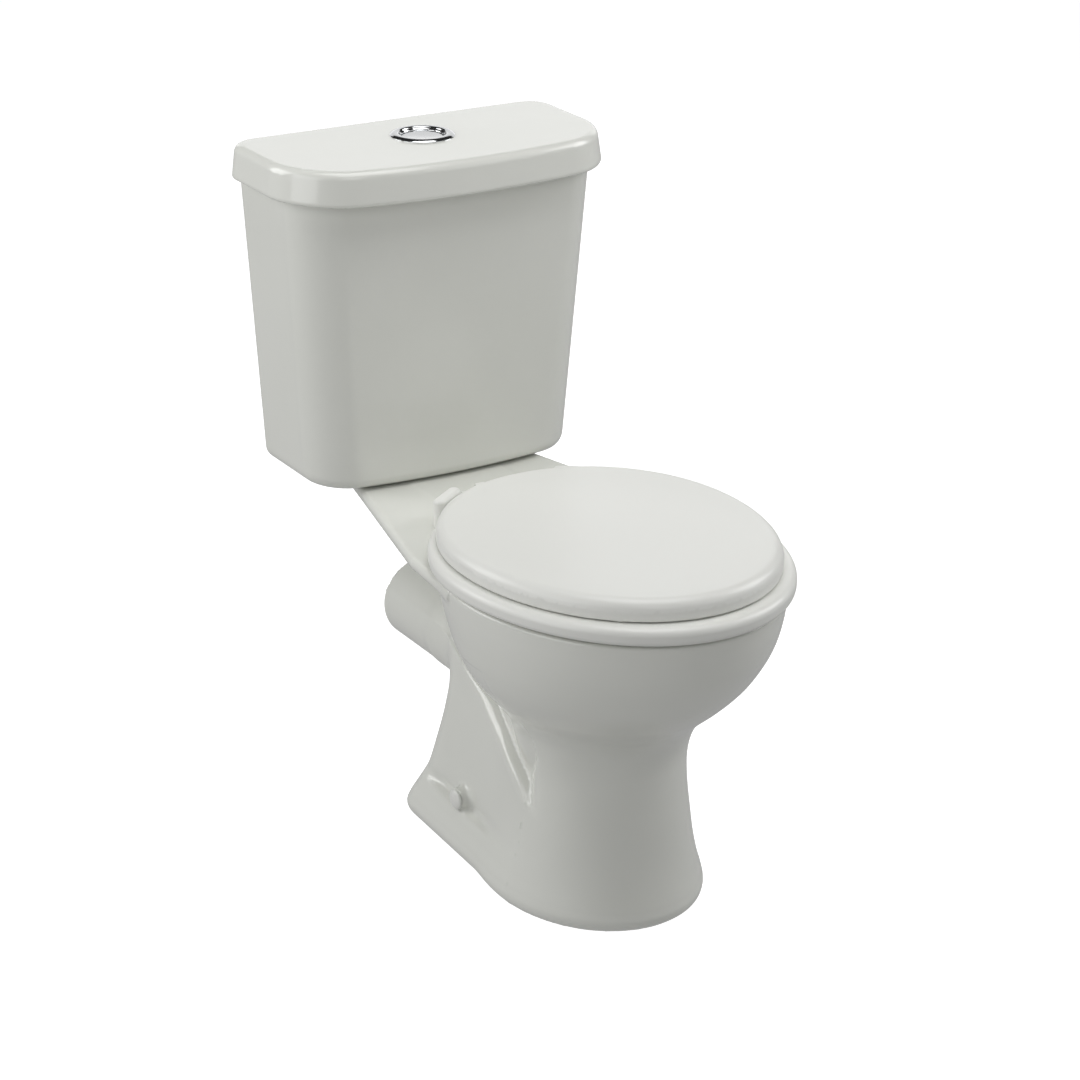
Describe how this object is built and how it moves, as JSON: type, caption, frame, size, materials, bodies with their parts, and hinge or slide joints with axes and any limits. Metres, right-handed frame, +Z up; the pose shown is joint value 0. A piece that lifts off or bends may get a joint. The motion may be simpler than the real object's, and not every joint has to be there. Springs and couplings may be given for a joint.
{
  "type": "close coupled toilet",
  "caption": "Close coupled toilet: open-backed pan with a horizontal waste outlet, round-nosed seat and cover, and a bow-fronted cistern with a top push-button flush.",
  "frame": {"origin": "on the floor under the middle of the whole toilet, half way between the wall face and the front of the seat", "axes": "+Z up, -Y towards the front of the seat, +Y towards the wall, +X to the right when facing the toilet from in front"},
  "size_m": [0.4132, 0.709, 0.7602],
  "materials": {
    "glazed_china": "glossy white vitreous china glaze",
    "seat_plastic": "smooth glossy white moulded plastic",
    "hinge_plastic": "smooth white moulded plastic",
    "buffer": "soft translucent white pads",
    "chrome_trim": "polished chrome plate",
    "valve_white": "white moulded valve plastic",
    "valve_grey": "grey-blue moulded valve plastic",
    "nut_plastic": "plain white nylon",
    "black_rubber": "black moulded rubber",
    "zinc_steel": "bright zinc plated steel",
    "pin_steel": "drawn stainless steel",
    "screw_cap_white": "white moulded cap"
  },
  "bodies": {
    "pan_and_cistern": {"pan": "glazed_china", "cistern": "glazed_china", "coupling_bolts": "zinc_steel", "coupling_rubber_washers": "black_rubber", "coupling_plate_washers": "zinc_steel", "coupling_wing_nuts": "zinc_steel", "doughnut_washer": "black_rubber", "flush_valve_body": "valve_white", "flush_valve_gasket": "black_rubber", "flush_valve_backnut": "nut_plastic", "rocker_pin": "pin_steel", "fill_valve_body": "valve_white", "fill_valve_washer": "black_rubber", "fill_valve_backnut": "nut_plastic", "fill_valve_cap": "valve_grey", "float_pivot_pin": "pin_steel", "hinge_brackets": "hinge_plastic", "hinge_pins": "pin_steel", "hinge_studs": "zinc_steel", "hinge_rubber_washers": "black_rubber", "hinge_wing_nuts": "nut_plastic", "floor_brackets": "zinc_steel", "pan_fixing_screws": "zinc_steel", "pan_screw_caps": "screw_cap_white"},
    "seat_ring": {"seat_ring": "seat_plastic", "ring_buffers": "buffer"},
    "seat_cover": {"seat_cover": "seat_plastic", "cover_buffers": "buffer"},
    "cistern_lid": {"cistern_lid": "glazed_china", "button_bezel": "chrome_trim", "bezel_nut": "nut_plastic", "button_spring": "pin_steel"},
    "flush_button": {"flush_button": "chrome_trim", "push_rod": "valve_grey"},
    "valve_spindle": {"valve_spindle": "valve_grey", "valve_seal": "black_rubber"},
    "valve_rocker": {"valve_rocker": "valve_grey"},
    "float": {"float_arm": "valve_grey", "float_cup": "valve_white"}
  },
  "joints": [
    {"name": "ring_hinge", "type": "hinge", "parent": "pan_and_cistern", "child": "seat_ring", "pos_m": [0, 0.0845, 0.397], "axis": [1, 0, 0], "range_deg": [-93, 0]},
    {"name": "cover_hinge", "type": "hinge", "parent": "seat_ring", "child": "seat_cover", "pos_m": [0, 0.0845, 0.397], "axis": [-1, 0, 0], "range_deg": [0, 93]},
    {"name": "cistern_lid_lift", "type": "slide", "parent": "pan_and_cistern", "child": "cistern_lid", "axis": [0, 0, 1], "range_m": [0, 0.08]},
    {"name": "flush_button_press", "type": "slide", "parent": "cistern_lid", "child": "flush_button", "axis": [0, 0, -1], "range_m": [0, 0.006], "stiffness_N_per_m": 500, "springref_m": -0.004, "deforming": ["button_spring"]},
    {"name": "spindle_lift", "type": "slide", "parent": "pan_and_cistern", "child": "valve_spindle", "axis": [0, 0, 1], "range_m": [0, 0.0082]},
    {"name": "rocker_turn", "type": "hinge", "parent": "pan_and_cistern", "child": "valve_rocker", "pos_m": [0.009, 0.2705, 0.672], "axis": [0, -1, 0], "range_deg": [0, 24]},
    {"name": "float_arm_swing", "type": "hinge", "parent": "pan_and_cistern", "child": "float", "pos_m": [0.1085, 0.2705, 0.622], "axis": [0, 1, 0], "range_deg": [0, 20]}
  ],
  "couplings": [
    {"joint": "spindle_lift", "follows": "flush_button_press", "ratio": 1.3333},
    {"joint": "rocker_turn", "follows": "flush_button_press", "rad_per_m": 68.333}
  ]
}
